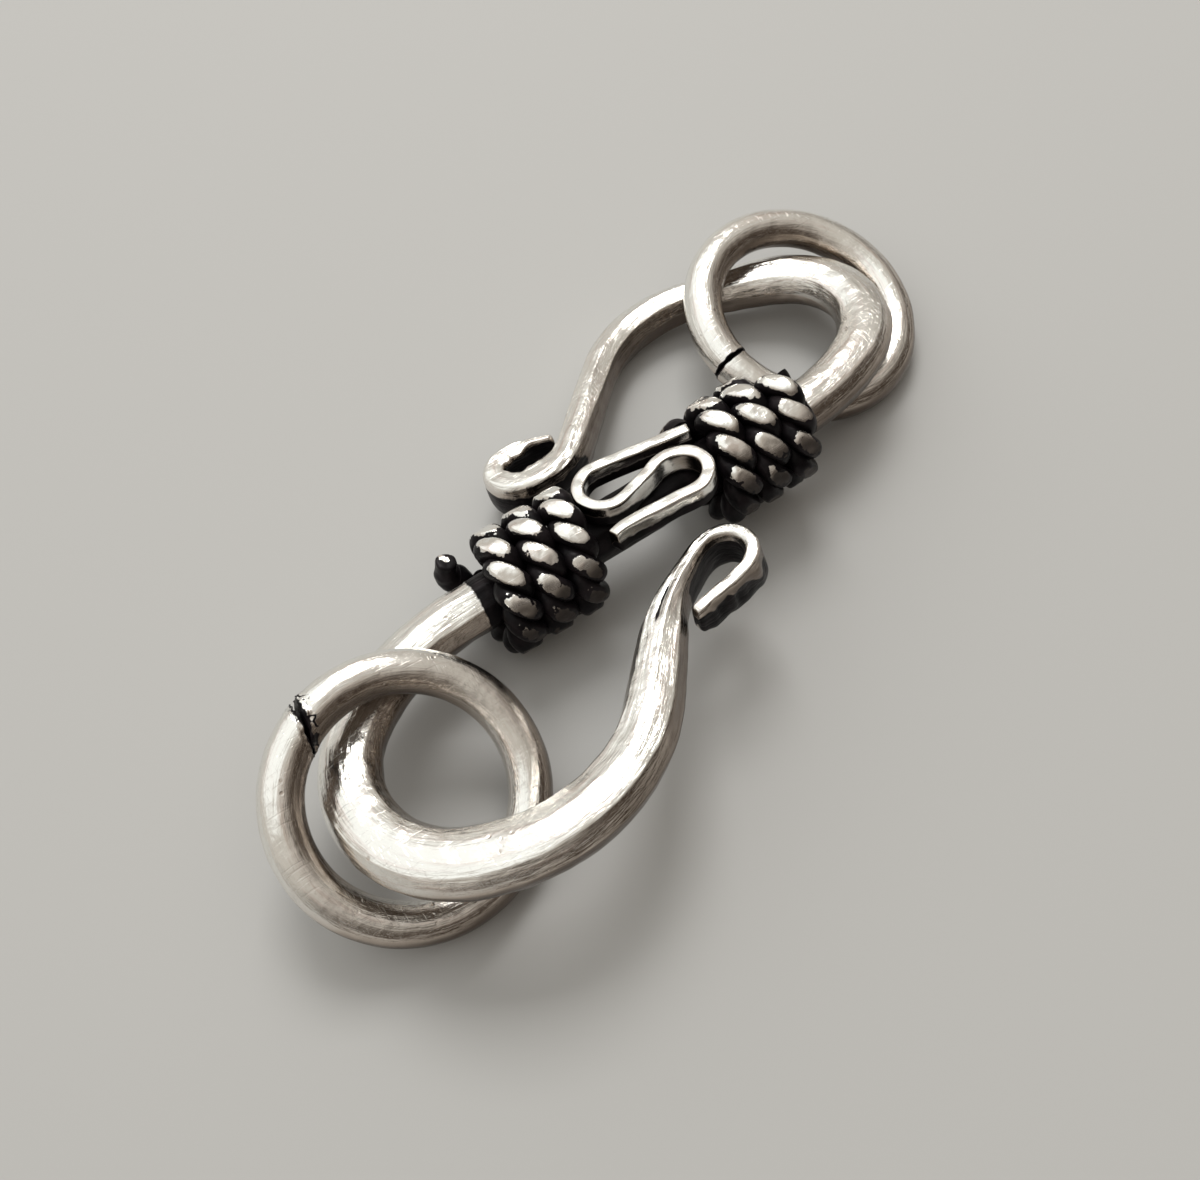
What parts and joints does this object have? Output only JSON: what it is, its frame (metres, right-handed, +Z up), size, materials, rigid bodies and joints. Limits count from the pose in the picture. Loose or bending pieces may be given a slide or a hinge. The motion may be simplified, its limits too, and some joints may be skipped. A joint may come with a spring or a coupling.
{
  "type": "s-hook clasp",
  "caption": "Forged silver S-hook clasp with wound rope wraps and a serpentine ribbon on its spine, and a jump ring linked on each bow.",
  "frame": {"origin": "on the table, under the middle of the bounding box", "axes": "+X along the spine towards the upper hook's bow, +Y towards the upper free leg, +Z up from the table"},
  "size_m": [0.0344, 0.0208, 0.0057],
  "materials": {
    "forged_silver": "hand-polished forged silver with faint scratches and dark patina in its corners",
    "flat_wire_silver": "polished edge, oxidised flanks",
    "rope_silver": "polished crests over blackened hollows",
    "ring_silver": "drawn round wire, polished, light scratches"
  },
  "bodies": {
    "clasp": {"s_hook": "forged_silver", "scroll_ribbon": "flat_wire_silver", "upper_rope_wire_a": "rope_silver", "upper_rope_wire_b": "rope_silver", "lower_rope_wire_a": "rope_silver", "lower_rope_wire_b": "rope_silver"},
    "upper_ring": {"upper_ring": "ring_silver"},
    "lower_ring": {"lower_ring": "ring_silver"}
  },
  "joints": [
    {"name": "upper_ring_swing", "type": "hinge", "parent": "clasp", "child": "upper_ring", "pos_m": [0.01214, 0.0054, 0.00201], "axis": [0.999, 0, 0.045], "range_deg": [0, 115]},
    {"name": "lower_ring_swing", "type": "hinge", "parent": "clasp", "child": "lower_ring", "pos_m": [-0.01213, -0.00452, 0.00282], "axis": [0.999, 0, 0.045], "range_deg": [0, 100]}
  ]
}
